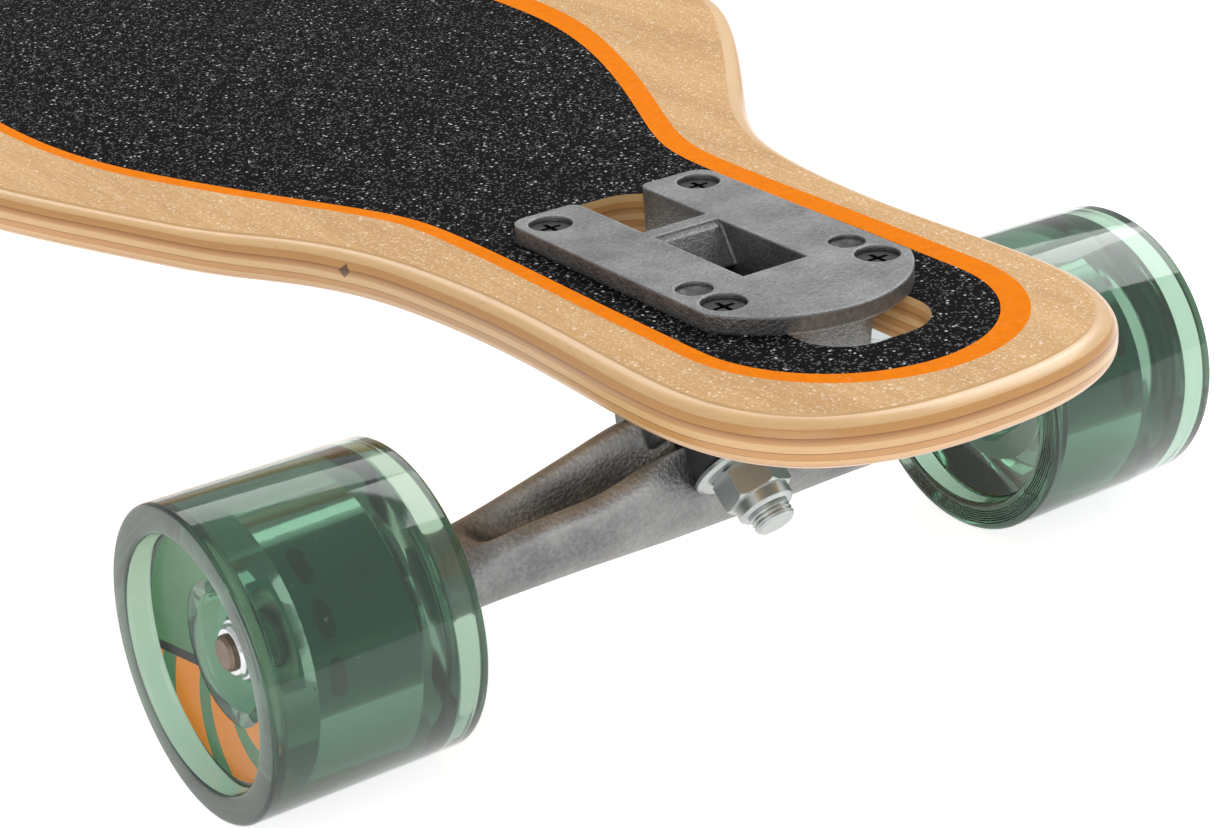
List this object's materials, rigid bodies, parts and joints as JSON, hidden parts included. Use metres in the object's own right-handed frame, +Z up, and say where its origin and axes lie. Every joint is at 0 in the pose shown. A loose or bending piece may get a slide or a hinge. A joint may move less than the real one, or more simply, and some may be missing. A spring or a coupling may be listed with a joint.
{
  "type": "longboard skateboard",
  "caption": "Drop-through longboard: plywood deck with clear grit and two slots that take the baseplates of reverse-kingpin steering trucks, urethane wheels on ball bearings.",
  "frame": {"origin": "on the floor, under the middle of the deck", "axes": "+X along the board towards the front truck, +Y to the left of the board, +Z up"},
  "size_m": [1.04, 0.2614, 0.1008],
  "materials": {
    "face_veneer": "clear-coated pale maple",
    "inner_plies": "maple plies seen on edge",
    "clear_grit": "clear spray-on grit over a black panel with an orange border; the veneer shows through",
    "cast_alloy": "raw casting, satin",
    "black_urethane": "matt",
    "bushing_urethane": "matt",
    "zinc_steel": "zinc plated",
    "axle_steel": "plain steel",
    "black_steel": "black oxide",
    "wheel_urethane": "translucent smoky green urethane with a printed ring on its faces",
    "hub_plastic": "moulded hub",
    "bearing_steel": "polished",
    "chrome_nut": "bright"
  },
  "bodies": {
    "board": {"deck_top_ply": "face_veneer", "deck_core": "inner_plies", "deck_bottom_ply": "face_veneer", "grip_coat": "clear_grit", "front_baseplate": "cast_alloy", "front_pivot_cup": "black_urethane", "front_kingpin": "zinc_steel", "front_kingpin_nut": "zinc_steel", "front_boardside_bushing": "bushing_urethane", "front_roadside_bushing": "bushing_urethane", "front_boardside_washer": "zinc_steel", "front_roadside_washer": "zinc_steel", "front_mounting_bolts": "black_steel", "front_mounting_nuts": "zinc_steel", "rear_baseplate": "cast_alloy", "rear_pivot_cup": "black_urethane", "rear_kingpin": "zinc_steel", "rear_kingpin_nut": "zinc_steel", "rear_boardside_bushing": "bushing_urethane", "rear_roadside_bushing": "bushing_urethane", "rear_boardside_washer": "zinc_steel", "rear_roadside_washer": "zinc_steel", "rear_mounting_bolts": "black_steel", "rear_mounting_nuts": "zinc_steel"},
    "front_hanger_set": {"front_hanger": "cast_alloy", "front_axle": "axle_steel", "front_left_bearing_inner_rings": "bearing_steel", "front_left_spacer": "zinc_steel", "front_left_speed_washers": "zinc_steel", "front_left_axle_nut": "chrome_nut", "front_right_bearing_inner_rings": "bearing_steel", "front_right_spacer": "zinc_steel", "front_right_speed_washers": "zinc_steel", "front_right_axle_nut": "chrome_nut"},
    "front_left_wheel": {"front_left_tyre": "wheel_urethane", "front_left_core": "hub_plastic", "front_left_bearing_outer_rings": "bearing_steel", "front_left_bearing_balls": "bearing_steel"},
    "front_right_wheel": {"front_right_tyre": "wheel_urethane", "front_right_core": "hub_plastic", "front_right_bearing_outer_rings": "bearing_steel", "front_right_bearing_balls": "bearing_steel"},
    "rear_hanger_set": {"rear_hanger": "cast_alloy", "rear_axle": "axle_steel", "rear_left_bearing_inner_rings": "bearing_steel", "rear_left_spacer": "zinc_steel", "rear_left_speed_washers": "zinc_steel", "rear_left_axle_nut": "chrome_nut", "rear_right_bearing_inner_rings": "bearing_steel", "rear_right_spacer": "zinc_steel", "rear_right_speed_washers": "zinc_steel", "rear_right_axle_nut": "chrome_nut"},
    "rear_left_wheel": {"rear_left_tyre": "wheel_urethane", "rear_left_core": "hub_plastic", "rear_left_bearing_outer_rings": "bearing_steel", "rear_left_bearing_balls": "bearing_steel"},
    "rear_right_wheel": {"rear_right_tyre": "wheel_urethane", "rear_right_core": "hub_plastic", "rear_right_bearing_outer_rings": "bearing_steel", "rear_right_bearing_balls": "bearing_steel"}
  },
  "joints": [
    {"name": "front_steer", "type": "hinge", "parent": "board", "child": "front_hanger_set", "pos_m": [0.4193, 0, 0.058], "axis": [0.6428, 0, 0.766], "range_deg": [-18, 18], "stiffness_Nm_per_rad": 120, "deforming": ["front_boardside_bushing", "front_roadside_bushing"]},
    {"name": "front_left_spin", "type": "hinge", "parent": "front_hanger_set", "child": "front_left_wheel", "pos_m": [0.4159, 0.1052, 0.035], "axis": [0, 1, 0], "continuous": true},
    {"name": "front_right_spin", "type": "hinge", "parent": "front_hanger_set", "child": "front_right_wheel", "pos_m": [0.4159, -0.1052, 0.035], "axis": [0, 1, 0], "continuous": true},
    {"name": "rear_steer", "type": "hinge", "parent": "board", "child": "rear_hanger_set", "pos_m": [-0.4193, 0, 0.058], "axis": [-0.6428, 0, 0.766], "range_deg": [-18, 18], "stiffness_Nm_per_rad": 120, "deforming": ["rear_boardside_bushing", "rear_roadside_bushing"]},
    {"name": "rear_left_spin", "type": "hinge", "parent": "rear_hanger_set", "child": "rear_left_wheel", "pos_m": [-0.4159, 0.1052, 0.035], "axis": [0, 1, 0], "continuous": true},
    {"name": "rear_right_spin", "type": "hinge", "parent": "rear_hanger_set", "child": "rear_right_wheel", "pos_m": [-0.4159, -0.1052, 0.035], "axis": [0, 1, 0], "continuous": true}
  ]
}
